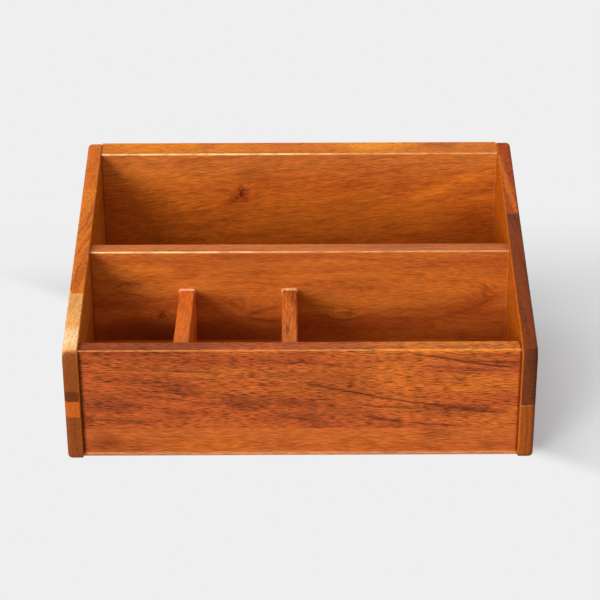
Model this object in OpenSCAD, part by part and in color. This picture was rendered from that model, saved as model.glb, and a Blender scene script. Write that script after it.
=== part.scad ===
// Open-topped desk organizer in edge-glued wood.
// Two sloping sides stand full depth. A front panel, a long middle divider and a back panel
// run between them on hidden dowels, and two short dividers make small cells at the front left.
// A thin bottom panel sits in grooves. +X is to the right, the front faces -Y, +Z is up, and
// the origin is the middle of the footprint on the surface that the organizer stands on.

/* [Overall] */
// Width over the outer faces of the two sides
organizer_w = 304; // [270:1:360]
// Depth of the sides from front to back
organizer_d = 210; // [190:1:250]
// Height where the sloping top would meet the back of the sides
back_h = 141.5; // [134:0.5:160]
// Height where the sloping top would meet the front of the sides
front_h = 78.5; // [68:0.5:90]

/* [Board thicknesses] */
// Thickness of each side
side_t = 10.2; // [9.5:0.1:14]
// Thickness of the front panel
front_t = 12; // [10:0.5:15]
// Thickness of the long middle divider
mid_t = 13; // [10:0.5:15]
// Thickness of the back panel
back_t = 13.5; // [10:0.5:15]
// Thickness of each short divider
short_t = 10; // [8:0.5:14]
// Thickness of the bottom panel
floor_t = 6; // [4:0.5:7]

/* [Compartments] */
// Clear depth of the front bay, from the front panel to the middle divider
front_bay_d = 81.5; // [70:0.5:95]
// Clear width of each of the two small cells
cell_w = 60; // [45:1:75]
// Step from the front edge of the sides back to the front panel
front_recess = 3.5; // [2:0.5:5]
// Drop of the front panel's top below the sloping edge of the sides
front_drop = 1.4; // [0.2:0.1:3]
// Drop of the middle divider's top below the sloping edge of the sides
mid_drop = 2.8; // [0.5:0.1:5]
// Drop of the back panel's top below the sloping edge of the sides
back_drop = 0.8; // [0:0.1:2]
// Drop of the short dividers below the front panel's top
short_drop = 1.4; // [0.5:0.1:6]

/* [Staves] */
// Width of the left side's top stave at the back; four equal staves lie below it
left_top_stave_w = 15.3; // [10:0.1:24]
// Width of the right side's top stave at the back; three equal staves lie below it
right_top_stave_w = 23.8; // [12:0.1:35]
// Height of the glued seam in the front panel
front_seam_h = 21; // [20.5:0.5:26]
// Height of the glued seam in the middle divider
mid_seam_h = 38; // [30:0.5:45]
// Height of the glued seam in the back panel
back_seam_h = 64; // [55:0.5:68]

/* [Rounded edges] */
// Rounding of the sides' outer edges
outer_r = 3; // [1.5:0.5:3]
// Rounding of every sanded arris
arris_r = 1; // [0.5:0.1:1.5]
// Corner radius of the sides, top front
brow_r = 10; // [5:0.5:14]
// Corner radius of the sides, bottom front
toe_r = 3.5; // [3.5:0.5:10]
// Corner radius of the sides, top rear
crown_r = 3.2; // [3.2:0.1:10]
// Corner radius of the sides, bottom rear
heel_r = 3.5; // [3.5:0.5:8]
// Rounding of the front panel's lower front edge
lip_r = 2; // [1:0.5:4]

/* [Bottom panel] */
// Height of the bottom panel's underside above the table
floor_up = 5; // [4:0.5:6]
// Depth of the grooves that hold the bottom panel
groove_depth = 5; // [3:0.5:6]
// Play above and below the bottom panel in its grooves
groove_play = 0.1; // [0.05:0.05:0.2]
// Room left at each edge of the bottom panel for the wood to move
floor_play = 0.5; // [0.2:0.1:0.8]

/* [Dowels] */
// Diameter of the dowels that join the long panels to the sides
dowel_d = 6; // [5:0.5:6]
// Depth of a dowel in the side
dowel_in_side = 7; // [5:0.5:7.5]
// Depth of a dowel in the end of a panel
dowel_in_panel = 15; // [10:1:25]
// Distance from the edge of a panel to the middle of its outermost dowel
dowel_edge = 6; // [5.5:0.5:8]
// Number of dowels in each long joint
dowel_count = 3; // [2:1:3]
// Diameter of the dowels in the ends of the short dividers
peg_d = 4; // [3:0.5:5]
// Depth of a short divider's dowel in the front panel or middle divider
peg_in_panel = 6; // [4:0.5:8]
// Depth of a short divider's dowel in the divider itself
peg_in_divider = 10; // [8:1:20]
// Distance from the edge of a short divider to the middle of its dowel
peg_edge = 15; // [12:1:20]
// Radial glue gap round a dowel
dowel_play = 0.1; // [0.05:0.05:0.2]
// Free space at the end of a dowel's hole
hole_end = 0.5; // [0.2:0.1:0.8]

/* [Hidden] */

// Steps in each rounded corner and each small arris, and facets on the rounded slabs
CORNER_STEPS = 6;
ARRIS_STEPS = 3;
SLAB_FACETS = 32;
ROUND_FACETS = 48;
// How far a cutting solid reaches past what it cuts
REACH = 20;

inside_w = organizer_w - 2 * side_t;
side_x = inside_w / 2;

// Faces of the cross panels, measured from the front edge of the sides
front_back_y = front_recess + front_t;
mid_front_y = front_back_y + front_bay_d;
mid_back_y = mid_front_y + mid_t;
back_front_y = organizer_d - back_t;

// Height of the sloping edge at a distance y from the front
slope = (back_h - front_h) / organizer_d;
function slope_h(y) = front_h + slope * y;

floor_top = floor_up + floor_t;
front_top = slope_h(front_recess) - front_drop;
mid_top = slope_h(mid_front_y) - mid_drop;
short_top = front_top - short_drop;
back_top_inside = slope_h(back_front_y) - back_drop;
back_top_outside = back_h - back_drop;

// Middle planes of the two short dividers
left_divider_x = -side_x + cell_w + short_t / 2;
right_divider_x = left_divider_x + short_t + cell_w;

// Evenly spaced heights of the dowels in a panel whose top is at the given height
function dowel_heights(top) =
    let (low = floor_top + dowel_edge, high = top - dowel_edge)
    [for (i = [0 : dowel_count - 1]) low + (high - low) * i / (dowel_count - 1)];

peg_heights = [floor_top + peg_edge, short_top - peg_edge];

function unit(v) = v / norm(v);

// Points that round the corner b of a path a, b, c
function rounded_corner(a, b, c, r, steps) =
    r <= 0 ? [b] :
    let (
        u = unit(a - b),
        v = unit(c - b),
        half = acos(u * v) / 2,
        centre = b + unit(u + v) * r / sin(half),
        from = b + u * r / tan(half) - centre,
        to = b + v * r / tan(half) - centre
    )
    [for (i = [0 : steps]) centre + r * unit(from * (steps - i) + to * i)];

// A closed path with its own radius at each corner
function rounded_path(path, radii) =
    let (n = len(path))
    [for (i = [0 : n - 1]) each rounded_corner(
        path[(i + n - 1) % n], path[i], path[(i + 1) % n], radii[i],
        radii[i] > arris_r ? CORNER_STEPS : ARRIS_STEPS)];

// Everything is drawn with the front edge of the sides at y = 0, then set on the origin
module on_origin() {
    translate([0, -organizer_d / 2, 0]) children();
}

// Extrudes a section drawn in y and z along x, centred on x = 0
module along_x(length) {
    rotate([90, 0, 90]) linear_extrude(height = length, center = true) children();
}

// A horizontal slice of the whole organizer between two heights
module slice(low, high) {
    translate([-organizer_w, -REACH, low])
        cube([2 * organizer_w, organizer_d + 2 * REACH, high - low]);
}

// A disc as thick as a side, with the sanded arris inside and the outer rounding outside
module edge_disc(radius) {
    rotate_extrude($fn = SLAB_FACETS)
        polygon(rounded_path(
            [[0, 0], [radius, 0], [radius, side_t], [0, side_t]], [0, arris_r, outer_r, 0]));
}

// Distance of a corner's centre below the sloping edge, for a corner of the given radius
function below_slope(r) = r * sqrt(1 + slope * slope);

// The right side before it is drilled and grooved
module side_slab() {
    corners = [
        [toe_r, toe_r, toe_r],
        [organizer_d - heel_r, heel_r, heel_r],
        [organizer_d - crown_r, slope_h(organizer_d - crown_r) - below_slope(crown_r), crown_r],
        [brow_r, slope_h(brow_r) - below_slope(brow_r), brow_r],
    ];
    hull()
        for (c = corners)
            translate([side_x, c[0], c[1]]) rotate([0, 90, 0]) edge_disc(c[2]);
}

// Dowels across the joints at both ends of a long panel, or the holes for them
module long_dowels(y, heights, play = 0, end_play = 0) {
    for (end = [-1, 1], z = heights)
        translate([end * (side_x + (dowel_in_side - dowel_in_panel) / 2), y, z])
            rotate([0, 90, 0])
                cylinder(d = dowel_d + 2 * play,
                         h = dowel_in_side + dowel_in_panel + 2 * end_play,
                         center = true, $fn = ROUND_FACETS);
}

// Dowels at both ends of both short dividers, or the holes for them
module short_dowels(play = 0, end_play = 0) {
    overhang = (peg_in_divider - peg_in_panel) / 2;
    for (x = [left_divider_x, right_divider_x], z = peg_heights,
         y = [front_back_y + overhang, mid_front_y - overhang])
        translate([x, y, z])
            rotate([90, 0, 0])
                cylinder(d = peg_d + 2 * play, h = peg_in_divider + peg_in_panel + 2 * end_play,
                         center = true, $fn = ROUND_FACETS);
}

front_dowel_y = front_recess + front_t / 2;
mid_dowel_y = mid_front_y + mid_t / 2;
back_dowel_y = back_front_y + back_t / 2;

module all_long_dowel_holes() {
    long_dowels(front_dowel_y, dowel_heights(front_top), dowel_play, hole_end);
    long_dowels(mid_dowel_y, dowel_heights(mid_top), dowel_play, hole_end);
    long_dowels(back_dowel_y, dowel_heights(back_top_inside), dowel_play, hole_end);
}

// The bottom panel, or with play the groove that it sits in all round
module floor_slab(play_up = 0, play_out = 0) {
    reach = groove_depth - floor_play + play_out;
    translate([-side_x - reach, front_back_y - reach, floor_up - play_up])
        cube([inside_w + 2 * reach, back_front_y - front_back_y + 2 * reach,
              floor_t + 2 * play_up]);
}

module right_side_board() {
    difference() {
        side_slab();
        all_long_dowel_holes();
        floor_slab(groove_play, floor_play);
    }
}

// One stave of a side, counted from the bottom, where equal staves lie below the top one
module side_stave(index, equal_staves, top_w) {
    stave_w = (back_h - top_w) / equal_staves;
    low = index == 0 ? -REACH : index * stave_w;
    high = index == equal_staves ? back_h + REACH : (index + 1) * stave_w;
    intersection() {
        right_side_board();
        slice(low, high);
    }
}

module right_stave(index) {
    on_origin() side_stave(index, 3, right_top_stave_w);
}

module left_stave(index) {
    on_origin() mirror([1, 0, 0]) side_stave(index, 4, left_top_stave_w);
}

// A cross panel that runs between the sides, from its front lower corner
module cross_panel(y, thickness, bottom, top_front, top_back, radii) {
    along_x(inside_w)
        polygon(rounded_path(
            [[y, bottom], [y + thickness, bottom], [y + thickness, top_back], [y, top_front]],
            radii));
}

module front_panel() {
    difference() {
        cross_panel(front_recess, front_t, 0, front_top, front_top,
                    [lip_r, arris_r, arris_r, arris_r]);
        all_long_dowel_holes();
        short_dowels(dowel_play, hole_end);
        floor_slab(groove_play, floor_play);
    }
}

module mid_divider() {
    difference() {
        cross_panel(mid_front_y, mid_t, floor_top, mid_top, mid_top, [0, 0, arris_r, arris_r]);
        all_long_dowel_holes();
        short_dowels(dowel_play, hole_end);
    }
}

module back_panel() {
    difference() {
        cross_panel(back_front_y, back_t, 0, back_top_inside, back_top_outside,
                    [arris_r, arris_r, arris_r, arris_r]);
        all_long_dowel_holes();
        floor_slab(groove_play, floor_play);
    }
}

// The part of a panel below or above its glued seam
module below(seam) {
    intersection() {
        children();
        slice(-REACH, seam);
    }
}

module above(seam) {
    intersection() {
        children();
        slice(seam, back_h + REACH);
    }
}

// A short divider between the front panel and the middle divider, rounded along its top
module short_divider(x) {
    section = rounded_path(
        [[-short_t / 2, 0], [short_t / 2, 0], [short_t / 2, short_top - floor_top],
         [-short_t / 2, short_top - floor_top]],
        [0, 0, arris_r, arris_r]);
    difference() {
        translate([x, mid_front_y, floor_top])
            rotate([90, 0, 0]) linear_extrude(height = front_bay_d) polygon(section);
        short_dowels(dowel_play, hole_end);
    }
}

module left_side_bottom_stave() { color("#7A3F22") left_stave(0); }
module left_side_lower_stave() { color("#A8612C") left_stave(1); }
module left_side_middle_stave() { color("#C98F52") left_stave(2); }
module left_side_upper_stave() { color("#B9652B") left_stave(3); }
module left_side_top_stave() { color("#C46D28") left_stave(4); }

module right_side_bottom_stave() { color("#AE5A26") right_stave(0); }
module right_side_lower_stave() { color("#5E3320") right_stave(1); }
module right_side_upper_stave() { color("#703C22") right_stave(2); }
module right_side_top_stave() { color("#B5622A") right_stave(3); }

module front_panel_lower_stave() { color("#C06A30") on_origin() below(front_seam_h) front_panel(); }
module front_panel_upper_stave() { color("#A65228") on_origin() above(front_seam_h) front_panel(); }

module mid_divider_lower_stave() { color("#A9582A") on_origin() below(mid_seam_h) mid_divider(); }
module mid_divider_upper_stave() { color("#BD662D") on_origin() above(mid_seam_h) mid_divider(); }

module back_panel_lower_stave() { color("#AF5B2A") on_origin() below(back_seam_h) back_panel(); }
module back_panel_upper_stave() { color("#C46F33") on_origin() above(back_seam_h) back_panel(); }

module bottom_panel() { color("#B98A5A") on_origin() floor_slab(); }

module left_short_divider() { color("#C97A34") on_origin() short_divider(left_divider_x); }
module right_short_divider() { color("#B97036") on_origin() short_divider(right_divider_x); }

module front_panel_dowels() {
    color("#D8B98A") on_origin() long_dowels(front_dowel_y, dowel_heights(front_top));
}
module mid_divider_dowels() {
    color("#D8B98A") on_origin() long_dowels(mid_dowel_y, dowel_heights(mid_top));
}
module back_panel_dowels() {
    color("#D8B98A") on_origin() long_dowels(back_dowel_y, dowel_heights(back_top_inside));
}
module short_divider_dowels() { color("#D8B98A") on_origin() short_dowels(); }

left_side_bottom_stave();
left_side_lower_stave();
left_side_middle_stave();
left_side_upper_stave();
left_side_top_stave();
right_side_bottom_stave();
right_side_lower_stave();
right_side_upper_stave();
right_side_top_stave();
front_panel_lower_stave();
front_panel_upper_stave();
mid_divider_lower_stave();
mid_divider_upper_stave();
back_panel_lower_stave();
back_panel_upper_stave();
bottom_panel();
left_short_divider();
right_short_divider();
front_panel_dowels();
mid_divider_dowels();
back_panel_dowels();
short_divider_dowels();
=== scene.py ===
"""Looks of the open desk organizer: oiled, edge-glued boards on a pale floor.

Lengths are in metres in the frame of the solids: +X right, the front faces -Y, +Z up.
The wood nodes work in millimetres, because grain is easier to read at that scale.
"""
import math
from dataclasses import dataclass

import bmesh
import bpy
from mathutils import Euler, Matrix, Vector


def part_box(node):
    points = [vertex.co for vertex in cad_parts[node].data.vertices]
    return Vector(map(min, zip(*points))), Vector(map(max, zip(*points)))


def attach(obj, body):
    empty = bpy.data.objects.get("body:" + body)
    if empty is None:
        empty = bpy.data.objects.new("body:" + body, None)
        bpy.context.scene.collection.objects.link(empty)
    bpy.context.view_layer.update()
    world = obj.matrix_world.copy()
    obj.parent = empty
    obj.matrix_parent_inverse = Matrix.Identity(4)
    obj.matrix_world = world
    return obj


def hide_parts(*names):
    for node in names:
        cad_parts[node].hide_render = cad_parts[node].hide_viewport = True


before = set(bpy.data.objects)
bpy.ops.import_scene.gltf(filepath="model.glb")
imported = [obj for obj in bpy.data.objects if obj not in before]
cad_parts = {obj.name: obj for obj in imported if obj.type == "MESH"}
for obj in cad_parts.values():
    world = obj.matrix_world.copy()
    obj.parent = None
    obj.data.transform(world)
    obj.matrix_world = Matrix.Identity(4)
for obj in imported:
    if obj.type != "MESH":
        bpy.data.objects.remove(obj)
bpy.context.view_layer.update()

MM = 0.001

# Driving sizes that the boxes of the solids don't give
FRONT_H = 78.5 * MM
BACK_H = 141.5 * MM
BACK_DROP = 0.8 * MM
OUTER_ROUND = 3.0 * MM
ARRIS = 1.0 * MM
BROW_ROUND = 10.0 * MM
TOE_ROUND = 3.5 * MM
CROWN_ROUND = 3.2 * MM
HEEL_ROUND = 3.5 * MM
LIP_ROUND = 2.0 * MM
END_ARRIS = 0.4 * MM
HIDDEN_ARRIS = 0.5 * MM

# Bead of finish where each short divider meets the middle divider
BEAD_DEPTH = 1.6 * MM
BEAD_PROUD = 0.6 * MM

# Points closer to a cut than this lie on it
CUT_TOLERANCE = 1e-7

# Steps of the rounded corners in an outline, and of the rounding along its rim
CORNER_STEPS = 8
RIM_STEPS = 6
# Edges sharper than this stay sharp in the shading
SHARP_DEG = 40.0
# How strongly the large flat faces set the shading of the roundings beside them
FLAT_FACE_WEIGHT = 100

# The camera of the photograph, which is 600 pixels square
PHOTO_PX = 600
FOCAL_PX = 1872.0
PITCH_DEG = 25.77
ROLL_DEG = -0.225
CAMERA_PLACE = (0.00015, -1.1621, 0.6256)
SENSOR_MM = 36.0

# Light: a low soft source at the front left, and a pale surround that is brighter overhead
SUN_AZIMUTH_DEG = 35.5
SUN_ELEVATION_DEG = 14.0
SUN_SPREAD_DEG = 28.0
SUN_STRENGTH = 2.45
SURROUND_STRENGTH = 0.46
OVERHEAD_GAIN = 1.5
BACKDROP_GREY = 0.863

# The floor: how much light it returns to the wood, and its own grey where it takes a shadow
FLOOR_REACH = 6.0
FLOOR_DROP = 0.05 * MM
FLOOR_RETURN = 0.42
FLOOR_GREY = 0.872
# It glows a little by itself, so that its shadow is no darker than in the photograph
FLOOR_GLOW = 0.10
# The shadow shows from the first of these distances past the middle, measured away from the
# light, and is whole at the second. Towards the back it weakens from the third to the fourth.
SHADOW_START = 0.000
SHADOW_FULL = 0.022
SHADOW_FADES = 0.140
SHADOW_LOST = 0.320
# Beside the right side the floor is deeper in shade, and cool enough to cancel the warm light
# that the wood throws on it. The shade is whole up to the first distance of each pair, to the
# right and to the back, and gone at the second.
DEEP_SHADE = (0.715, 0.740, 0.748, 1.0)
DEEP_SHADE_RIGHT = (0.150, 0.240)
DEEP_SHADE_BACK = (0.115, 0.215)


# Geometry

def outward(edge):
    """Unit normal on the right of an edge, which is outside on an anticlockwise path."""
    return Vector((edge.y, -edge.x)).normalized()


def rounded_outline(corners):
    """Points and outward normals of a convex anticlockwise path of (u, v, radius) corners."""
    outline = []
    for i, (u, v, radius) in enumerate(corners):
        here = Vector((u, v))
        before = Vector(corners[i - 1][:2])
        after = Vector(corners[(i + 1) % len(corners)][:2])
        first, last = outward(here - before), outward(after - here)
        centre = here - (first + last) * (radius / (1 + first.dot(last)))
        start = math.atan2(first.y, first.x)
        turn = (math.atan2(last.y, last.x) - start) % math.tau
        for k in range(CORNER_STEPS + 1):
            angle = start + turn * k / CORNER_STEPS
            normal = Vector((math.cos(angle), math.sin(angle)))
            outline.append((centre + normal * radius, normal))
    return outline


def quarter_turn():
    """The angles of a rounding, from 0 to a right angle."""
    return [math.radians(90) * k / RIM_STEPS for k in range(RIM_STEPS + 1)]


def rim(low, high, round_low, round_high):
    """Pairs of (inset, place) up the thickness of a slab whose two rims are rounded."""
    quarter = quarter_turn()
    lower = [(round_low * (1 - math.sin(a)), low + round_low * (1 - math.cos(a)))
             for a in quarter]
    upper = [(round_high * (1 - math.cos(a)), high - round_high * (1 - math.sin(a)))
             for a in quarter]
    return lower + upper


def sweep_mesh(outline, profile, place):
    """A closed solid: the outline swept through (inset, place) pairs. A negative inset swells."""
    bm = bmesh.new()
    rings = []
    for inset, w in profile:
        rings.append([bm.verts.new(place(*(p - n * inset), w)) for p, n in outline])
    count = len(outline)
    for below, above in zip(rings, rings[1:]):
        for i in range(count):
            j = (i + 1) % count
            bm.faces.new((below[i], below[j], above[j], above[i]))
    bm.faces.new(list(reversed(rings[0])))
    bm.faces.new(rings[-1])
    bmesh.ops.recalc_face_normals(bm, faces=bm.faces)
    return bm


def slice_mesh(bm, low, high):
    """The part of a closed mesh between two heights, closed again at the cuts.

    A height of None leaves that end as it is.
    """
    part = bm.copy()
    for height, side in ((low, -1), (high, 1)):
        if height is None:
            continue
        bmesh.ops.bisect_plane(
            part, geom=part.verts[:] + part.edges[:] + part.faces[:], dist=CUT_TOLERANCE,
            plane_co=(0, 0, height), plane_no=(0, 0, side), clear_outer=True)
        open_edges = [e for e in part.edges if e.is_boundary]
        bmesh.ops.holes_fill(part, edges=open_edges, sides=0)
    bmesh.ops.recalc_face_normals(part, faces=part.faces)
    return part


def add_piece(name, bm, material, node):
    """Makes a shown piece that stands for one node of the solids."""
    mesh = bpy.data.meshes.new(name)
    bm.to_mesh(mesh)
    bm.free()
    mesh.shade_smooth()
    mesh.set_sharp_from_angle(angle=math.radians(SHARP_DEG))
    piece = bpy.data.objects.new(name, mesh)
    bpy.context.scene.collection.objects.link(piece)
    piece.data.materials.append(material)
    normals = piece.modifiers.new("flat_faces_stay_flat", "WEIGHTED_NORMAL")
    normals.keep_sharp = True
    normals.weight = FLAT_FACE_WEIGHT
    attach(piece, "root")
    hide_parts(node)
    return piece


# Node helpers

# Several sockets of a mix node share a name, so these are found by their places
MIX_FACTOR = 0
MIX_FIRST = 6
MIX_SECOND = 7
MIX_COLOUR = 2


class Field:
    """A number that varies over a surface, so that node maths reads as arithmetic."""

    def __init__(self, graph, socket):
        self.graph, self.socket = graph, socket

    def __add__(self, other):
        return self.graph.maths("ADD", self, other)

    __radd__ = __add__

    def __sub__(self, other):
        return self.graph.maths("SUBTRACT", self, other)

    def __mul__(self, other):
        return self.graph.maths("MULTIPLY", self, other)

    def __abs__(self):
        return self.graph.maths("ABSOLUTE", self)

    def smooth(self, low, high):
        """0 below low, 1 above high and a smooth step between. Low may be above high."""
        return self.graph.map_range(self, low, high)


class Graph:
    """Builds the node tree of a material or of the surround."""

    def __init__(self, owner):
        owner.use_nodes = True
        self.tree = owner.node_tree
        self.tree.nodes.clear()

    def plug(self, socket, value):
        """Links a field or an output to the socket, or sets the socket to a plain value."""
        if isinstance(value, Field):
            self.tree.links.new(value.socket, socket)
        elif isinstance(value, bpy.types.NodeSocket):
            self.tree.links.new(value, socket)
        else:
            socket.default_value = value

    def maths(self, operation, *values):
        """The result of one step of arithmetic."""
        made = self.tree.nodes.new("ShaderNodeMath")
        made.operation = operation
        for socket, value in zip(made.inputs, values):
            self.plug(socket, value)
        return Field(self, made.outputs[0])

    def distance(self, u, v):
        """How far a point is from the place where both fields are zero."""
        return self.maths("SQRT", u * u + v * v)

    def map_range(self, value, low, high):
        """A smooth step from 0 at low to 1 at high, whichever of them is larger."""
        made = self.tree.nodes.new("ShaderNodeMapRange")
        made.interpolation_type = "SMOOTHSTEP"
        falls = low > high
        self.plug(made.inputs["Value"], value)
        made.inputs["From Min"].default_value = min(low, high)
        made.inputs["From Max"].default_value = max(low, high)
        made.inputs["To Min"].default_value = 1.0 if falls else 0.0
        made.inputs["To Max"].default_value = 0.0 if falls else 1.0
        return Field(self, made.outputs["Result"])

    def vector(self, x, y, z):
        """Three fields or numbers joined as one vector."""
        made = self.tree.nodes.new("ShaderNodeCombineXYZ")
        for socket, value in zip(made.inputs, (x, y, z)):
            self.plug(socket, value)
        return made.outputs[0]

    def noise(self, x, y, z, detail=2.0, roughness=0.5):
        """Noise with features about one unit across, mostly between 0.25 and 0.75."""
        made = self.tree.nodes.new("ShaderNodeTexNoise")
        self.plug(made.inputs["Vector"], self.vector(x, y, z))
        made.inputs["Scale"].default_value = 1.0
        made.inputs["Detail"].default_value = detail
        made.inputs["Roughness"].default_value = roughness
        return Field(self, made.outputs["Fac"])

    def mix(self, factor, first, second):
        """The first colour where the factor is 0 and the second where it is 1."""
        made = self.tree.nodes.new("ShaderNodeMix")
        made.data_type = "RGBA"
        self.plug(made.inputs[MIX_FACTOR], factor)
        self.plug(made.inputs[MIX_FIRST], first)
        self.plug(made.inputs[MIX_SECOND], second)
        return made.outputs[MIX_COLOUR]

    def scale_colour(self, colour, amount):
        """The colour with each channel multiplied by a field."""
        made = self.tree.nodes.new("ShaderNodeVectorMath")
        made.operation = "SCALE"
        self.plug(made.inputs[0], colour)
        self.plug(made.inputs["Scale"], amount)
        return made.outputs[0]

    def coordinates(self, kind):
        """The three fields of one kind of coordinate."""
        source = self.tree.nodes.new("ShaderNodeTexCoord")
        split = self.tree.nodes.new("ShaderNodeSeparateXYZ")
        self.plug(split.inputs[0], source.outputs[kind])
        return [Field(self, out) for out in split.outputs]

    def position_mm(self):
        """x, y and z of the surface point, in millimetres."""
        return [field * (1 / MM) for field in self.coordinates("Object")]


def srgb(red, green, blue):
    """Linear colour from the 0 to 255 values of a picture."""
    def linear(level):
        # The standard curve between a picture's levels and light
        share = level / 255
        return share / 12.92 if share <= 0.04045 else ((share + 0.055) / 1.055) ** 2.4
    return (linear(red), linear(green), linear(blue), 1.0)


def grey(level):
    """Linear grey, or white at 1."""
    return (level, level, level, 1.0)


def darker(colour, share):
    """The colour with each channel multiplied by a number below 1."""
    return tuple(share * c for c in colour[:3]) + (1.0,)


# Wood

@dataclass
class Layer:
    """One noise of the grain.

    rates are its features per millimetre in each of its three directions. drift_on says which
    of them is shifted by the board's own drift, so that no two boards look alike. offset
    shifts the second one, so that a layer doesn't repeat another.
    """
    rates: tuple
    detail: float = 2.0
    roughness: float = 0.5
    drift_on: int = 0
    offset: float = 0.0


SLOW = Layer((0.011, 0.020, 0.028), detail=1.0)
WOBBLE = Layer((0.06, 0.10, 0.12), detail=1.0)
GRIT = Layer((0.5, 0.0, 0.35), drift_on=1)
BROAD = Layer((0.10, 0.007, 3.1), drift_on=1)
LINES = Layer((0.45, 0.022, 0.05), detail=3.0, roughness=0.6, drift_on=1)
FINE = Layer((0.10, 1.25, 1.25), roughness=0.6)
HAIRS = Layer((0.14, 2.6, 2.6))
DASHES = Layer((0.08, 1.2, 1.2), detail=1.0, offset=31.0)
BLOTCH = Layer((0.025, 0.06, 0.06))
SPECKLE = Layer((0.9, 0.2, 0.9), drift_on=2)
# The last layer breaks up the painted highlights along the front arrises
HIGHLIGHT_BREAKUP = Layer((0.11, 0.05, 7.0))
# Drift between one seed and the next
BOARD_DRIFT = 17.3

# Steps: where a tone or a mark starts to show, and where it is full
PALE_STEP = (0.40, 0.62)
DARK_STEP = (0.52, 0.34)
PORE_STEP = (0.52, 0.68)
BREAK_STEP = (0.36, 0.56)
KNOT_STEP = (0.62, 1.15)
HALO_STEP = (0.45, 0.05)
# The breakup of the painted arris highlights
HIGHLIGHT_BREAKUP_STEP = (0.30, 0.62)
PATCH_STEP = (1.35, 0.35)
# These two are shares of the mark's half width; the second is for the painted highlight along a
# front arris
STROKE_STEP = (1.6, 0.2)
HIGHLIGHT_STEP = (1.3, 0.5)

# How far, in millimetres, the wobble bends the grain, a patch and a stroke
GRAIN_WOBBLE = 2.2
PATCH_WOBBLE = 3.0
STROKE_WOBBLE = 1.6
# A stroke fades over this share of its length at each end, and over no more than this length.
# It starts to show a little before its end points.
STROKE_FADE_SHARE = 0.3
STROKE_FADE_MM = 12.0
STROKE_LEAD_MM = 1.0
# How ragged a knot and the ring round it are, and how strong the ring is
KNOT_RAGGED = 1.2
HALO_RAGGED = 1.4
HALO_STRENGTH = 0.4
# What the dark bands take from the lines, and from the broad tones
BAND_LINES = 0.65
BAND_BROAD = 0.35
# How much of a stroke or a painted arris highlight the grain breaks up
BREAK_SHARE = 0.65
# A patch's strength between the lines of the grain, and what the lines add. A patch in the
# wood's dark tone also makes the pores under it darker.
PATCH_BASE = 0.55
PATCH_LINES = 0.9
PATCH_PORES = 0.6
# Pores are this strong in pale wood, and stronger by this much in dark wood
PORE_BASE = 0.30
PORE_IN_DARK = 1.2
# A knot's strength between the lines of the grain, and what the lines add
KNOT_BASE = 0.6
KNOT_LINES = 0.6
# Strokes, pores and knots are these shares of the wood's dark tone
STROKE_TONE = 0.55
PORE_TONE = 0.45
KNOT_TONE = 0.4
# How far each layer moves the brightness, the first three times the wood's contrast
FINE_GAIN = 1.5
LINES_GAIN = 0.30
HAIRS_GAIN = 0.9
BLOTCH_GAIN = 0.30
# The grain darkens the wood more than it brightens it
DARKEST_GRAIN = 0.05
BRIGHTEST_GRAIN = 1.38
# The finish: its roughness, what the lines and pores add to it, and the relief of the grain
FINISH_ROUGHNESS = 0.38
ROUGHNESS_GAIN = 0.2
RELIEF_STRENGTH = 0.3
RELIEF_DEPTH = 0.12 * MM
RELIEF_FINE = 0.6
RELIEF_HAIRS = 0.3


@dataclass
class Wood:
    """How one board's wood looks. Lengths are in millimetres.

    The grain runs along x or y. pale, middle and dark are its three tones. tilt is the climb
    of the grain along the board, and wander how far it strays. pith is where the middle of the
    trunk lies: across the board, and its height. contrast sets the fine lines, pores the dark
    dashes, bands the broad dark tones, and speckle the mottling of end grain. fineness sets how
    small the lines and dashes are, and gloss how much the finish shines.

    Marks are placed by (place along the grain, height):
    knots    (place, height, half length, half height, bulge of the grain, darkness)
    strokes  (start, middle point, end, half width, darkness), each a thin curved line
    patches  (place, height, half length, half height, lean, colour, strength)
    zones    (axis, where it starts, where it is full, colour, strength), all beyond a place
    arris_highlights (height, half width, strength, faded strength, fades from, fades to),
         a painted highlight along the front arris at that height on highlight_face,
         which fades from left to right
    """
    grain: str
    seed: int
    pale: tuple
    middle: tuple
    dark: tuple
    tilt: float = 0.0
    wander: float = 8.0
    pith: tuple = (-60.0, 20.0)
    contrast: float = 0.5
    pores: float = 0.4
    bands: float = 0.5
    speckle: float = 0.0
    fineness: float = 1.0
    gloss: float = 0.06
    knots: tuple = ()
    strokes: tuple = ()
    patches: tuple = ()
    zones: tuple = ()
    # The painted highlight along a front arris: its places, face and colour
    arris_highlights: tuple = ()
    highlight_face: float = 0.0
    highlight_colour: tuple = srgb(255, 214, 150)


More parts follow.
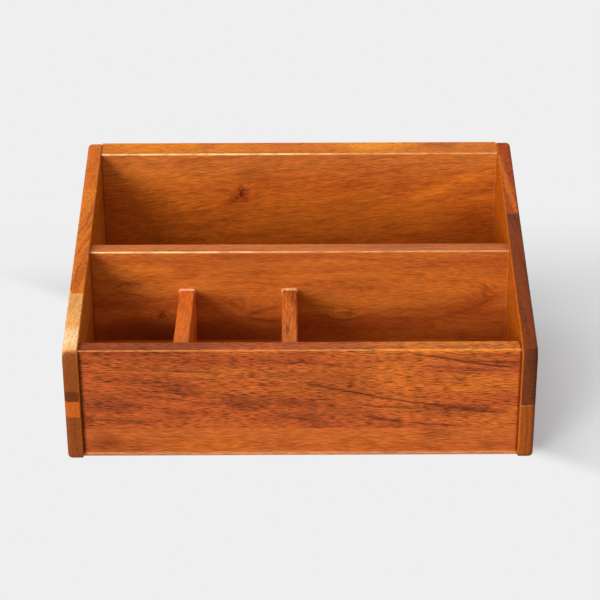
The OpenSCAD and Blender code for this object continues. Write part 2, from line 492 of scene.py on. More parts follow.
class Grain:
    """The noises of one board, and the places that they are taken at."""

    def __init__(self, g, wood):
        self.g = g
        self.x, self.y, self.z = g.position_mm()
        along_x = wood.grain == "x"
        self.along, self.across = (self.x, self.y) if along_x else (self.y, self.x)
        self.drift = wood.seed * BOARD_DRIFT

        # Height with the grain's slope and slow wander taken out, so that lines follow it
        self.slow = self.noise(SLOW, self.along, self.across, self.z) - 0.5
        self.wobble = self.noise(WOBBLE, self.along, self.across, self.z) - 0.5
        self.flow = self.z - self.along * wood.tilt + self.slow * wood.wander
        self.flow = self.flow + self.wobble * GRAIN_WOBBLE
        self.knot_dark = None
        for knot in wood.knots:
            self.add_knot(*knot)

        # Distance from the middle of the trunk gives the growth rings
        ring = g.distance(self.across - wood.pith[0], self.flow - wood.pith[1])
        self.broad = self.noise(BROAD, ring, self.along, wood.seed)
        self.lines = self.noise(LINES, ring, self.along, self.across)
        self.blotch = self.noise(BLOTCH, self.along, self.z, self.across)
        self.fine, self.hairs, self.dashes = [
            self.noise(layer, self.along, self.flow, self.across, fineness=wood.fineness)
            for layer in (FINE, HAIRS, DASHES)]

    def noise(self, layer, *places, fineness=1.0):
        """A layer at three places in millimetres."""
        scaled = [place * (rate * fineness) for place, rate in zip(places, layer.rates)]
        scaled[layer.drift_on] = scaled[layer.drift_on] + self.drift
        if layer.offset:
            scaled[1] = scaled[1] + layer.offset
        return self.g.noise(*scaled, detail=layer.detail, roughness=layer.roughness)

    def add_knot(self, place, height, half_length, half_height, bulge, darkness):
        """Bends the grain round a knot, and darkens its middle and a ring round it."""
        u = (self.along - place) * (1.0 / half_length)
        v = (self.z - height) * (1.0 / half_height)
        squares = u * u + v * v
        fall = self.g.maths("EXPONENT", squares * -1.0)
        self.flow = self.flow + fall * bulge
        if darkness:
            grit = self.noise(GRIT, self.along, 0.0, self.z) - 0.5
            spot = (fall + grit * KNOT_RAGGED).smooth(*KNOT_STEP)
            halo = abs(squares - 1.0 + grit * HALO_RAGGED).smooth(*HALO_STEP)
            dark = (spot + halo * HALO_STRENGTH) * darkness
            self.knot_dark = dark if self.knot_dark is None else self.knot_dark + dark


def partly(field, share):
    """A factor that the field lowers by no more than the share."""
    return (1.0 - share) + field * share


def stroke_mask(along, height, start, middle, end, half_width):
    """1 on a curved line through three points, 0 off it, fading out at both ends."""
    (x0, z0), (x1, z1), (x2, z2) = start, middle, end
    first = (z1 - z0) / (x1 - x0)
    second = ((z2 - z1) / (x2 - x1) - first) / (x2 - x0)
    u = along - x0
    curve = u * (u - (x1 - x0)) * second + u * first + z0
    shows, full = STROKE_STEP
    near = abs(height - curve).smooth(half_width * shows, half_width * full)
    fade = min(STROKE_FADE_MM, STROKE_FADE_SHARE * (x2 - x0))
    return (near * along.smooth(x0 - STROKE_LEAD_MM, x0 + fade)
            * along.smooth(x2 + STROKE_LEAD_MM, x2 - fade))


def patch_mask(g, along, height, place, level, half_length, half_height, lean):
    """1 inside a soft oval that leans with the grain, 0 outside it."""
    u = (along - place) * (1.0 / half_length)
    v = (height - level - (along - place) * lean) * (1.0 / half_height)
    return g.distance(u, v).smooth(*PATCH_STEP)


def broad_tones(g, wood, grain):
    """The board's colour before any mark, and how much of its dark tone is in it."""
    colour = g.mix(grain.broad.smooth(*PALE_STEP), wood.middle, wood.pale)
    dark = grain.lines * BAND_LINES + grain.broad * BAND_BROAD
    dark_share = dark.smooth(*DARK_STEP) * wood.bands
    return g.mix(dark_share, colour, wood.dark), dark_share


def add_marks(g, wood, grain, colour, dark_share):
    """Lays the patches, zones and strokes that are listed over the colour."""
    wiggle = (grain.wobble + grain.slow) * PATCH_WOBBLE
    for *oval, patch_colour, strength in wood.patches:
        mask = patch_mask(g, grain.along, grain.z + wiggle, *oval)
        mask = mask * (PATCH_BASE + grain.lines * PATCH_LINES) * strength
        colour = g.mix(mask, colour, patch_colour)
        if patch_colour == wood.dark:
            dark_share = dark_share + mask * PATCH_PORES
    spaces = {"x": grain.x, "y": grain.y, "z": grain.z}
    for axis, start, full, zone_colour, strength in wood.zones:
        mask = spaces[axis].smooth(start, full) * strength
        colour = g.mix(mask, colour, zone_colour)
    # Both noises count alike
    breaks = (grain.fine * 0.5 + grain.dashes * 0.5).smooth(*BREAK_STEP)
    bent = grain.z + grain.wobble * STROKE_WOBBLE
    for *line, darkness in wood.strokes:
        mask = stroke_mask(grain.along, bent, *line) * partly(breaks, BREAK_SHARE)
        colour = g.mix(mask * darkness, colour, darker(wood.dark, STROKE_TONE))
    return colour, dark_share


def add_fine_grain(g, wood, grain, colour, dark_share):
    """Lays the fine lines, the pores and the knots over the colour. Also gives the pores."""
    tone = 1.0 + (grain.fine - 0.5) * (FINE_GAIN * wood.contrast)
    tone = tone + (grain.lines - 0.5) * (LINES_GAIN * wood.contrast)
    tone = tone + (grain.hairs - 0.5) * (HAIRS_GAIN * wood.contrast)
    tone = tone + (grain.blotch - 0.5) * BLOTCH_GAIN
    if wood.speckle:
        speckle = grain.noise(SPECKLE, grain.x, grain.y, grain.z)
        tone = tone + (speckle - 0.5) * wood.speckle
    tone = g.maths("MINIMUM", g.maths("MAXIMUM", tone, DARKEST_GRAIN), BRIGHTEST_GRAIN)
    colour = g.scale_colour(colour, tone)
    pore = grain.dashes.smooth(*PORE_STEP) * (PORE_BASE + dark_share * PORE_IN_DARK)
    pore = pore * wood.pores
    colour = g.mix(pore, colour, darker(wood.dark, PORE_TONE))
    if grain.knot_dark is not None:
        knot = grain.knot_dark * (KNOT_BASE + grain.lines * KNOT_LINES)
        colour = g.mix(knot, colour, darker(wood.dark, KNOT_TONE))
    return colour, pore


def paint_arris_highlights(g, wood, grain, colour):
    """Lays the painted highlight of a front arris over the colour, broken up by noise."""
    shows, full = HIGHLIGHT_STEP
    for level, half_width, strength, faded, fades_from, fades_to in wood.arris_highlights:
        gap = g.distance(grain.y - wood.highlight_face, grain.z - level)
        highlight_breakup = grain.noise(HIGHLIGHT_BREAKUP, grain.along, grain.across, 1.0).smooth(*HIGHLIGHT_BREAKUP_STEP)
        share = grain.x.smooth(fades_to, fades_from) * (strength - faded) + faded
        mask = gap.smooth(half_width * shows, half_width * full)
        colour = g.mix(mask * partly(highlight_breakup, BREAK_SHARE) * share, colour, wood.highlight_colour)
    return colour


def make_wood(name, wood):
    """A material: broad tones, then marks, fine grain and painted arris highlights over them."""
    material = bpy.data.materials.new(name)
    g = Graph(material)
    grain = Grain(g, wood)
    colour, dark_share = broad_tones(g, wood, grain)
    colour, dark_share = add_marks(g, wood, grain, colour, dark_share)
    colour, pore = add_fine_grain(g, wood, grain, colour, dark_share)
    colour = paint_arris_highlights(g, wood, grain, colour)

    bump = g.tree.nodes.new("ShaderNodeBump")
    bump.inputs["Strength"].default_value = RELIEF_STRENGTH
    bump.inputs["Distance"].default_value = RELIEF_DEPTH
    g.plug(bump.inputs["Height"], grain.fine * RELIEF_FINE + grain.hairs * RELIEF_HAIRS - pore)
    shader = g.tree.nodes.new("ShaderNodeBsdfPrincipled")
    shader.inputs["Specular IOR Level"].default_value = wood.gloss
    g.plug(shader.inputs["Base Color"], colour)
    roughness = FINISH_ROUGHNESS + (grain.lines - 0.5) * ROUGHNESS_GAIN + pore * ROUGHNESS_GAIN
    g.plug(shader.inputs["Roughness"], roughness)
    g.plug(shader.inputs["Normal"], bump.outputs[0])
    output = g.tree.nodes.new("ShaderNodeOutputMaterial")
    g.plug(output.inputs["Surface"], shader.outputs[0])
    return material


PEACH = srgb(250, 204, 150)
TAN = srgb(232, 164, 92)
GOLD = srgb(226, 140, 30)
AMBER = srgb(212, 116, 32)
ORANGE = srgb(200, 103, 30)
COPPER = srgb(188, 91, 28)
SIENNA = srgb(182, 83, 26)
CHESTNUT = srgb(166, 73, 24)
RUST = srgb(154, 61, 20)
RED_BROWN = srgb(136, 56, 22)
UMBER_TAN = srgb(138, 70, 30)
BROWN = srgb(124, 56, 20)
DARK = srgb(88, 38, 18)
UMBER = srgb(64, 30, 18)

FRONT_TOP_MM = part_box("front_panel_upper_stave")[1].z / MM
FRONT_FACE_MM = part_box("front_panel_upper_stave")[0].y / MM
MID_TOP_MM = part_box("mid_divider_upper_stave")[1].z / MM
MID_FACE_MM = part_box("mid_divider_upper_stave")[0].y / MM
BACK_FACE_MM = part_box("back_panel_upper_stave")[0].y / MM
SHORT_TOP_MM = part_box("left_short_divider")[1].z / MM
SIDE_FRONT_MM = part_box("right_side_bottom_stave")[0].y / MM
SIDE_BACK_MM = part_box("right_side_bottom_stave")[1].y / MM
SLOPE = (BACK_H - FRONT_H) / MM / (SIDE_BACK_MM - SIDE_FRONT_MM)
BACK_ARRIS_MM = FRONT_H / MM + SLOPE * (BACK_FACE_MM - SIDE_FRONT_MM) - BACK_DROP / MM

# At the ends of the long panels, where they meet the sides: painted shadow of the proud sides
# with a dark joint line on the front panel; a thin dark joint line at the left and a thin pale
# line at the right on the inner panels
FRONT_END_SHADE = (("x", -139.0, -141.6, DARK, 0.75), ("x", 139.9, 141.2, DARK, 0.80))
INNER_ENDS = (("x", 140.9, 141.5, TAN, 0.45), ("x", -140.8, -141.6, DARK, 0.35))

FRONT_UPPER = Wood(
    grain="x", seed=11, pale=srgb(188, 95, 36), middle=srgb(177, 82, 34),
    dark=srgb(112, 48, 26), tilt=-0.045, wander=7.0,
    contrast=2.7, pores=0.75, bands=0.42, fineness=1.6, gloss=0.12,
    zones=(
        *FRONT_END_SHADE,
        ("z", FRONT_TOP_MM - 0.7, FRONT_TOP_MM - 0.1, RUST, 0.12),
    ),
    patches=(
        (-75.0, 49.5, 13.0, 4.5, -0.10, DARK, 0.38),
        (-108.0, 55.0, 26.0, 3.0, -0.12, DARK, 0.20),
        (-22.0, 42.5, 34.0, 5.0, -0.13, DARK, 0.30),
        (-74.0, 64.5, 24.0, 2.5, -0.05, DARK, 0.22),
        (-14.0, 59.5, 18.0, 3.0, -0.06, DARK, 0.22),
        (26.0, 53.0, 28.0, 12.0, -0.10, RED_BROWN, 0.45),
        (62.0, 58.0, 18.0, 10.0, 0.00, AMBER, 0.32),
        (112.0, 52.0, 36.0, 8.0, 0.00, AMBER, 0.40),
        (100.0, 78.0, 60.0, 4.0, 0.00, srgb(220, 124, 34), 0.78),
        (-70.0, 71.0, 70.0, 6.0, 0.00, RED_BROWN, 0.32),
        (-105.0, 78.0, 60.0, 3.5, 0.00, RED_BROWN, 0.60),
        (20.0, 34.0, 30.0, 5.0, -0.20, DARK, 0.22),
        (80.0, 34.0, 22.0, 4.0, -0.08, DARK, 0.20),
        (-112.0, 27.0, 24.0, 3.0, -0.04, DARK, 0.22),
        (-20.0, 27.0, 14.0, 3.0, -0.05, DARK, 0.20),
    ),
    strokes=(
        ((64.0, 77.0), (100.0, 70.5), (142.0, 64.0), 0.8, 0.95),
        ((98.0, 70.0), (120.0, 69.5), (142.0, 66.5), 0.6, 0.60),
        ((122.0, 66.0), (133.0, 69.0), (142.0, 66.5), 0.6, 0.60),
        ((0.0, 55.0), (58.0, 42.5), (136.0, 31.5), 0.8, 0.90),
        ((40.0, 30.2), (56.0, 27.2), (70.0, 25.6), 1.2, 1.00),
        ((66.0, 25.0), (88.0, 23.6), (110.0, 22.0), 0.7, 0.75),
        ((-140.0, 28.5), (-112.0, 26.5), (-86.0, 26.0), 0.7, 0.60),
        ((-136.0, 23.5), (-112.0, 25.0), (-88.0, 22.5), 0.7, 0.55),
        ((-128.0, 66.0), (-112.0, 65.0), (-98.0, 62.5), 0.8, 0.60),
        ((-92.0, 64.5), (-70.0, 62.5), (-48.0, 62.0), 0.8, 0.60),
        ((-20.0, 30.5), (-4.0, 28.5), (12.0, 26.5), 0.8, 0.60),
        ((30.0, 40.0), (52.0, 37.0), (84.0, 35.5), 0.8, 0.65),
        ((92.0, 38.5), (110.0, 36.0), (140.0, 33.5), 0.7, 0.55),
    ),
    # Painted highlight along the top front arris
    highlight_face=FRONT_FACE_MM + 0.3, highlight_colour=srgb(240, 150, 75),
    arris_highlights=((FRONT_TOP_MM - 0.3, 0.62, 0.55, 0.55, -60.0, 60.0),),
)
FRONT_LOWER = Wood(
    grain="x", seed=10, pale=srgb(188, 95, 37), middle=srgb(177, 87, 36), dark=RUST,
    wander=5.0, contrast=1.2, pores=0.35, bands=0.40, fineness=1.4, gloss=0.12,
    zones=(
        *FRONT_END_SHADE,
        # Painted reflection of the pale floor on the rounded bottom lip
        ("z", 4.4, 2.6, srgb(225, 150, 100), 0.55),
    ),
    patches=(
        (-127.0, 11.0, 10.0, 7.0, 0.0, RED_BROWN, 0.60),
        (-60.0, 8.0, 28.0, 4.0, 0.0, ORANGE, 0.60),
        (70.0, 8.0, 40.0, 5.0, 0.0, SIENNA, 0.35),
    ),
)
MID_UPPER = Wood(
    grain="x", seed=13, pale=srgb(192, 101, 32), middle=srgb(180, 89, 30), dark=RUST,
    wander=7.0, contrast=1.1, pores=0.25, bands=0.35, fineness=1.3, gloss=0.26,
    knots=(
        (30.5, 56.0, 11.0, 4.0, 6.0, 0.15),
        (-30.0, 60.0, 20.0, 7.0, 9.0, 0.0),
        (-95.0, 56.5, 7.0, 3.6, 5.0, 0.90),
        (134.0, 70.0, 16.0, 10.0, 9.0, 0.0),
        (127.0, 67.0, 5.0, 4.0, 3.0, 0.55),
        (-115.5, 79.0, 7.0, 3.6, 4.0, 0.30),
    ),
    zones=INNER_ENDS,
    patches=(
        # Painted shade low on the face, deepest at the left, where the front panel and left side
        # keep light off
        (-70.0, 40.0, 72.0, 15.0, 0.0, srgb(108, 38, 6), 0.62),
        (-112.0, 42.0, 34.0, 14.0, 0.0, srgb(96, 30, 4), 0.40),
        (60.0, 40.0, 60.0, 12.0, 0.0, srgb(130, 52, 8), 0.35),
        (-50.0, MID_TOP_MM + 0.6, 90.0, 2.2, 0.0, srgb(212, 111, 40), 0.50),
        (-108.0, 91.0, 30.0, 4.0, 0.0, AMBER, 0.60),
        (-77.0, 91.0, 12.0, 6.0, 0.0, RUST, 0.35),
        (-118.0, 50.0, 22.0, 6.0, 0.20, RUST, 0.40),
        (124.0, 68.0, 16.0, 8.0, 0.25, RUST, 0.50),
        (30.0, 50.0, 60.0, 7.0, 0.05, RUST, 0.30),
    ),
    strokes=(
        ((-88.0, 85.5), (-78.0, 85.0), (-68.0, 87.0), 1.0, 0.40),
        ((-129.0, 76.0), (-117.0, 81.5), (-106.0, 80.0), 0.9, 0.60),
        ((-129.0, 76.0), (-118.0, 74.0), (-104.0, 71.5), 0.9, 0.60),
        ((20.5, 55.8), (30.0, 59.0), (40.0, 56.2), 0.7, 0.60),
        ((20.5, 55.6), (31.0, 53.0), (40.0, 55.8), 0.7, 0.60),
        ((25.0, 55.8), (31.0, 57.3), (36.0, 56.0), 0.5, 0.50),
        ((-124.0, 46.0), (-112.0, 49.5), (-100.0, 52.0), 1.8, 0.45),
        ((-38.0, 57.0), (-24.0, 61.0), (-12.0, 65.0), 1.4, 0.80),
        ((-38.0, 56.0), (-24.0, 53.0), (-10.0, 53.0), 1.3, 0.75),
        ((-32.0, 57.5), (-22.0, 58.0), (-12.0, 59.5), 0.9, 0.35),
        ((0.0, 65.0), (24.0, 62.5), (52.0, 61.5), 1.0, 0.35),
        ((42.0, 56.0), (62.0, 54.0), (80.0, 53.0), 1.2, 0.35),
        ((64.0, 87.0), (76.0, 87.2), (88.0, 87.0), 0.9, 0.40),
        ((77.0, 52.0), (110.0, 58.5), (142.0, 76.0), 1.5, 0.40),
        ((98.0, 51.5), (103.0, 51.5), (108.0, 52.5), 1.0, 0.45),
        ((20.0, 48.0), (60.0, 46.0), (100.0, 49.0), 1.6, 0.30),
    ),
    # Painted highlight along the top front arris, fading towards the right
    highlight_face=MID_FACE_MM + 0.3,
    arris_highlights=((MID_TOP_MM - 0.3, 0.68, 0.90, 0.32, -70.0, 10.0),),
)
BACK_UPPER = Wood(
    grain="x", seed=15, pale=srgb(192, 102, 32), middle=srgb(179, 89, 28), dark=RUST,
    tilt=0.10, wander=10.0, contrast=1.1, pores=0.25, bands=0.35, fineness=1.3, gloss=0.04,
    knots=(
        (-42.5, 106.0, 2.2, 6.2, 0.0, 1.20),
        (-45.0, 102.0, 5.0, 2.2, 0.0, 0.90),
        (-37.5, 102.0, 2.2, 3.0, 0.0, 0.50),
        (-40.0, 104.0, 10.0, 8.0, 7.0, 0.15),
    ),
    zones=(
        *INNER_ENDS,
        # Painted sheen towards the top of the face
        ("z", 112.0, 130.0, srgb(206, 122, 60), 0.30),
        # Painted shade, darker towards the bottom
        ("z", 116.0, 90.0, srgb(154, 67, 4), 0.36),
    ),
    patches=(
        (-90.0, 140.0, 62.0, 2.8, 0.0, srgb(226, 127, 18), 0.80),
        (40.0, 140.0, 110.0, 2.8, 0.0, srgb(214, 114, 18), 0.45),
        (106.0, 111.0, 40.0, 5.0, 0.36, AMBER, 0.60),
        (72.0, 108.0, 12.0, 9.0, 0.0, RUST, 0.35),
        (122.0, 82.0, 18.0, 13.0, 0.0, RED_BROWN, 0.40),
        (-34.0, 124.0, 12.0, 10.0, 0.0, RED_BROWN, 0.22),
        (-60.0, 92.0, 50.0, 3.5, 0.12, RUST, 0.15),
        (30.0, 100.0, 50.0, 3.0, 0.20, RUST, 0.30),
        (56.0, 140.0, 26.0, 3.2, 0.0, GOLD, 0.80),
        (-42.0, 105.0, 8.0, 7.0, 0.0, RUST, 0.55),
        (-49.0, 100.5, 10.0, 3.0, 0.3, RUST, 0.55),
        (-66.0, 140.0, 8.0, 3.0, 0.0, RUST, 0.45),
        (-16.0, 140.0, 14.0, 3.0, 0.0, SIENNA, 0.50),
        (102.0, 140.0, 14.0, 3.0, 0.0, RED_BROWN, 0.55),
    ),
    strokes=(
        ((-84.0, 118.0), (-74.0, 120.0), (-64.0, 122.5), 0.9, 0.40),
        ((-36.0, 111.0), (-22.0, 111.0), (-8.0, 112.5), 1.0, 0.38),
        ((-55.0, 96.0), (-50.0, 98.0), (-45.0, 101.0), 1.0, 0.45),
        ((-88.0, 68.0), (-82.0, 71.0), (-74.0, 76.0), 1.0, 0.50),
        ((-82.0, 68.5), (-75.0, 70.5), (-67.0, 68.0), 1.0, 0.50),
        ((-68.0, 77.0), (-36.0, 72.5), (0.0, 80.0), 1.3, 0.32),
        ((-3.0, 80.0), (25.0, 86.5), (56.0, 95.0), 1.2, 0.28),
        ((96.0, 96.5), (120.0, 106.0), (141.0, 108.0), 1.4, 0.38),
        ((70.0, 71.0), (78.0, 72.5), (88.0, 74.0), 1.5, 0.40),
        ((20.0, 118.0), (60.0, 123.0), (100.0, 131.0), 1.2, 0.22),
    ),
    # Painted highlight along the top front arris, fading towards the right
    highlight_face=BACK_FACE_MM + 0.3,
    arris_highlights=((BACK_ARRIS_MM - 0.2, 0.68, 0.95, 0.32, -10.0, 50.0),),
)
# Painted highlight on the bead at the rear end of each short divider
BEAD_HIGHLIGHT = (-8.6, SHORT_TOP_MM, 1.8, 4.0, 0.0, PEACH, 0.60)
PLAIN_BOARD = dict(pale=ORANGE, middle=COPPER, dark=RUST, contrast=0.5, pores=0.25)
# The inner faces of both sides are orange, whatever the stave's colour is outside
LEFT_INSIDE = ("x", -142.9, -142.1, srgb(184, 96, 22), 0.9)
RIGHT_INSIDE = ("x", 142.9, 142.1, srgb(190, 94, 18), 1.0)

WOODS = {
    "left_side_bottom_stave": Wood(
        grain="y", seed=1, pale=UMBER_TAN, middle=UMBER_TAN, dark=DARK, contrast=0.8,
        pores=0.6, speckle=1.1, zones=(LEFT_INSIDE,)),
    "left_side_lower_stave": Wood(
        grain="y", seed=2, pale=UMBER_TAN, middle=UMBER_TAN, dark=BROWN, contrast=0.7,
        speckle=0.9,
        zones=(("z", 51.0, 49.5, DARK, 0.7), ("z", 43.4, 42.4, COPPER, 1.0), LEFT_INSIDE)),
    "left_side_middle_stave": Wood(
        grain="y", seed=3, pale=TAN, middle=TAN, dark=AMBER, contrast=0.8, bands=0.5,
        zones=(("y", -100.5, -103.5, UMBER_TAN, 1.0), LEFT_INSIDE),
        # Painted highlight on the rounded brow at the front of the slope
        patches=((-92.0, 84.0, 10.0, 10.0, 0.0, PEACH, 0.9),)),
    "left_side_upper_stave": Wood(
        grain="y", seed=4, pale=AMBER, middle=ORANGE, dark=RED_BROWN, contrast=1.0, bands=0.5,
        zones=(LEFT_INSIDE,)),
    "left_side_top_stave": Wood(
        grain="y", seed=5, pale=ORANGE, middle=COPPER, dark=RUST, contrast=0.8, bands=0.4,
        zones=(LEFT_INSIDE,)),
    "right_side_bottom_stave": Wood(
        grain="y", seed=6, pale=srgb(166, 85, 28), middle=srgb(152, 74, 28), dark=BROWN,
        contrast=0.8, speckle=0.5, zones=(RIGHT_INSIDE, ("z", 38.0, 39.0, PEACH, 0.10))),
    "right_side_lower_stave": Wood(
        grain="y", seed=7, pale=BROWN, middle=DARK, dark=UMBER, contrast=0.8, pores=0.6,
        speckle=0.9, zones=(("y", -95.0, -104.0, srgb(98, 50, 28), 0.6), RIGHT_INSIDE)),
    "right_side_upper_stave": Wood(
        grain="y", seed=8, pale=BROWN, middle=BROWN, dark=DARK, contrast=0.8, pores=0.5,
        zones=(RIGHT_INSIDE,)),
    "right_side_top_stave": Wood(
        grain="y", seed=9, pale=ORANGE, middle=CHESTNUT, dark=RED_BROWN, contrast=1.2,
        bands=0.5, zones=(("y", 80.0, 92.0, RUST, 0.6), RIGHT_INSIDE)),
    "front_panel_lower_stave": FRONT_LOWER,
    "front_panel_upper_stave": FRONT_UPPER,
    "mid_divider_lower_stave": Wood(grain="x", seed=12, **PLAIN_BOARD),
    "mid_divider_upper_stave": MID_UPPER,
    "back_panel_lower_stave": Wood(grain="x", seed=14, **PLAIN_BOARD),
    "back_panel_upper_stave": BACK_UPPER,
    "bottom_panel": Wood(grain="x", seed=16, **PLAIN_BOARD),
    "left_short_divider": Wood(
        grain="y", seed=17, pale=srgb(232, 118, 44), middle=srgb(216, 106, 38), dark=CHESTNUT,
        contrast=0.8, pores=0.15, bands=0.3,
        patches=(BEAD_HIGHLIGHT,)),
    "right_short_divider": Wood(
        grain="y", seed=18, pale=srgb(204, 106, 40), middle=srgb(182, 88, 34), dark=BROWN,
        contrast=1.2, pores=0.3, bands=0.7,
        patches=(BEAD_HIGHLIGHT,)),
    "dowels": Wood(
        grain="x", seed=19, pale=srgb(225, 195, 150), middle=srgb(210, 175, 130),
        dark=srgb(180, 140, 100)),
}


# Boards


def across_place(u, v, w):
    """Outline in y and z, swept along x."""
    return (w, u, v)


def along_place(u, v, w):
    """Outline in x and z, swept along y."""
    return (u, w, v)


def make_sides(woods):
    """Both sides, each one board cut at the seams between its staves."""
    low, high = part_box("right_side_bottom_stave")
    outline = rounded_outline([
        (low.y, 0.0, TOE_ROUND),
        (high.y, 0.0, HEEL_ROUND),
        (high.y, BACK_H, CROWN_ROUND),
        (low.y, FRONT_H, BROW_ROUND),
    ])
    profile = rim(low.x, high.x, ARRIS, OUTER_ROUND)
    for side, hand, names in (
        (1, "right", ["bottom", "lower", "upper", "top"]),
        (-1, "left", ["bottom", "lower", "middle", "upper", "top"]),
    ):
        board = sweep_mesh(outline, profile, lambda u, v, w: (side * w, u, v))
        nodes = [f"{hand}_side_{n}_stave" for n in names]
        for i, node in enumerate(nodes):
            seam_below = None if i == 0 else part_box(node)[0].z
            seam_above = None if i == len(nodes) - 1 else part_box(nodes[i + 1])[0].z
            stave = slice_mesh(board, seam_below, seam_above)
            add_piece("shown_" + node, stave, woods[node], node)
        board.free()


def make_cross_panel(name, corners, woods):
    """The two staves of a long panel, from its outline in y and z."""
    lower, upper = name + "_lower_stave", name + "_upper_stave"
    low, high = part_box(upper)
    profile = rim(low.x, high.x, END_ARRIS, END_ARRIS)
    board = sweep_mesh(rounded_outline(corners), profile, across_place)
    for node, bottom, top in ((lower, None, low.z), (upper, low.z, None)):
        stave = slice_mesh(board, bottom, top)
        add_piece("shown_" + node, stave, woods[node], node)
    board.free()


def make_cross_panels(woods):
    """The front panel, the middle divider and the back panel."""
    low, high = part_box("front_panel_upper_stave")
    make_cross_panel("front_panel", [
        (low.y, 0.0, LIP_ROUND), (high.y, 0.0, ARRIS),
        (high.y, high.z, ARRIS), (low.y, high.z, ARRIS)], woods)

    low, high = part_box("mid_divider_upper_stave")
    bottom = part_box("mid_divider_lower_stave")[0].z
    make_cross_panel("mid_divider", [
        (low.y, bottom, HIDDEN_ARRIS), (high.y, bottom, HIDDEN_ARRIS),
        (high.y, high.z, ARRIS), (low.y, high.z, ARRIS)], woods)

    low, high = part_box("back_panel_upper_stave")
    top = BACK_H - BACK_DROP
    make_cross_panel("back_panel", [
        (low.y, 0.0, ARRIS), (high.y, 0.0, ARRIS),
        (high.y, top, ARRIS), (low.y, top - SLOPE * (high.y - low.y), ARRIS)], woods)


def make_short_dividers(woods):
    """The two dividers of the small cells, each with a bead at its rear end."""
    for node in ("left_short_divider", "right_short_divider"):
        low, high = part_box(node)
        outline = rounded_outline([
            (low.x, low.z, HIDDEN_ARRIS), (high.x, low.z, HIDDEN_ARRIS),
            (high.x, high.z, ARRIS), (low.x, high.z, ARRIS)])
        # The bead takes the place of the rounding at the rear end
        profile = rim(low.y, high.y, END_ARRIS, END_ARRIS)[:-RIM_STEPS - 1]
        profile += [(-BEAD_PROUD * math.sin(a), high.y - BEAD_DEPTH * math.cos(a))
                    for a in quarter_turn()]
        board = sweep_mesh(outline, profile, along_place)
        add_piece("shown_" + node, board, woods[node], node)


def finish_hidden_nodes(woods):
    """The bottom panel and the dowels keep their solids' meshes and get their wood."""
    for node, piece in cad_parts.items():
        if node == "bottom_panel" or node.endswith("_dowels"):
            material = woods["bottom_panel" if node == "bottom_panel" else "dowels"]
            piece.data.materials.clear()
            piece.data.materials.append(material)


# Stage

def make_camera():
    """The photograph's own viewpoint."""
    data = bpy.data.cameras.new("camera")
    data.sensor_width = SENSOR_MM
    data.lens = FOCAL_PX / PHOTO_PX * SENSOR_MM
    camera = bpy.data.objects.new("camera", data)
    turn = (Matrix.Rotation(math.radians(90 - PITCH_DEG), 3, "X")
            @ Matrix.Rotation(math.radians(ROLL_DEG), 3, "Z"))
    camera.rotation_euler = turn.to_euler()
    camera.location = CAMERA_PLACE
    bpy.context.scene.collection.objects.link(camera)
    bpy.context.scene.camera = camera


def make_light():
    """The soft low sun, and the surround, which the camera sees as a plain grey."""
    data = bpy.data.lights.new("sun", "SUN")
    data.energy = SUN_STRENGTH
    data.angle = math.radians(SUN_SPREAD_DEG)
    sun = bpy.data.objects.new("sun", data)
    sun.rotation_euler = Euler(
        (math.radians(90 - SUN_ELEVATION_DEG), 0, math.radians(-SUN_AZIMUTH_DEG)))
    bpy.context.scene.collection.objects.link(sun)

    world = bpy.data.worlds.new("surround")
    bpy.context.scene.world = world
    g = Graph(world)
    up = g.coordinates("Generated")[2]
    light = g.tree.nodes.new("ShaderNodeBackground")
    light.inputs["Color"].default_value = grey(1.0)
    g.plug(light.inputs["Strength"], (up * up * OVERHEAD_GAIN + 1.0) * SURROUND_STRENGTH)
    shown = g.tree.nodes.new("ShaderNodeBackground")
    shown.inputs["Strength"].default_value = 1.0
    shown.inputs["Color"].default_value = grey(BACKDROP_GREY)
    path = g.tree.nodes.new("ShaderNodeLightPath")
    choose = g.tree.nodes.new("ShaderNodeMixShader")
    output = g.tree.nodes.new("ShaderNodeOutputWorld")
    g.plug(choose.inputs[0], path.outputs["Is Camera Ray"])
    g.plug(choose.inputs[1], light.outputs[0])
    g.plug(choose.inputs[2], shown.outputs[0])
    g.plug(output.inputs[0], choose.outputs[0])


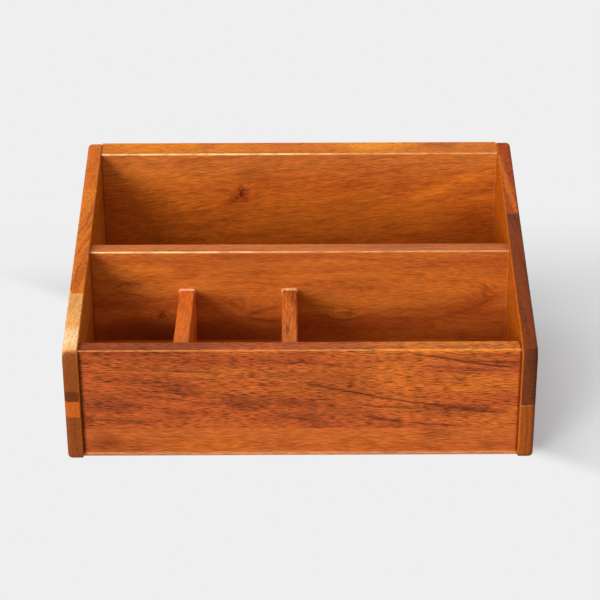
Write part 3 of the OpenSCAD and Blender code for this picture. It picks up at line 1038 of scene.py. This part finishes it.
def make_floor():
    """A pale floor that shows the backdrop's colour, and a shadow on the side away from the
    light. Only the camera sees that. The wood gets the light of a plain, darker floor."""
    bm = bmesh.new()
    bmesh.ops.create_grid(bm, x_segments=1, y_segments=1, size=FLOOR_REACH)
    mesh = bpy.data.meshes.new("floor")
    bm.to_mesh(mesh)
    bm.free()
    floor = bpy.data.objects.new("floor", mesh)
    floor.location.z = -FLOOR_DROP
    bpy.context.scene.collection.objects.link(floor)

    material = bpy.data.materials.new("pale_floor")
    g = Graph(material)
    x, y, _ = g.position_mm()
    turn = math.radians(SUN_AZIMUTH_DEG)
    away = x * math.sin(turn) + y * math.cos(turn)
    shadow_share = away.smooth(SHADOW_START / MM, SHADOW_FULL / MM) * (1.0 - FLOOR_GLOW)
    shadow_share = shadow_share * y.smooth(SHADOW_LOST / MM, SHADOW_FADES / MM)
    returned = g.tree.nodes.new("ShaderNodeBsdfDiffuse")
    returned.inputs["Color"].default_value = grey(FLOOR_RETURN)
    matt = g.tree.nodes.new("ShaderNodeBsdfDiffuse")
    right_whole, right_gone = (place / MM for place in DEEP_SHADE_RIGHT)
    back_whole, back_gone = (place / MM for place in DEEP_SHADE_BACK)
    close = x.smooth(right_gone, right_whole) * y.smooth(back_gone, back_whole)
    g.plug(matt.inputs["Color"], g.mix(close, grey(FLOOR_GREY), DEEP_SHADE))
    glow = g.tree.nodes.new("ShaderNodeEmission")
    glow.inputs["Color"].default_value = grey(BACKDROP_GREY)
    glow.inputs["Strength"].default_value = 1.0
    seen = g.tree.nodes.new("ShaderNodeMixShader")
    g.plug(seen.inputs[0], shadow_share)
    g.plug(seen.inputs[1], glow.outputs[0])
    g.plug(seen.inputs[2], matt.outputs[0])
    path = g.tree.nodes.new("ShaderNodeLightPath")
    choose = g.tree.nodes.new("ShaderNodeMixShader")
    g.plug(choose.inputs[0], path.outputs["Is Camera Ray"])
    g.plug(choose.inputs[1], returned.outputs[0])
    g.plug(choose.inputs[2], seen.outputs[0])
    output = g.tree.nodes.new("ShaderNodeOutputMaterial")
    g.plug(output.inputs["Surface"], choose.outputs[0])
    mesh.materials.append(material)


make_camera()
make_light()
make_floor()
woods = {node: make_wood("wood_" + node, wood) for node, wood in WOODS.items()}
make_sides(woods)
make_cross_panels(woods)
make_short_dividers(woods)
finish_hidden_nodes(woods)

bpy.context.scene.view_settings.view_transform = "Standard"
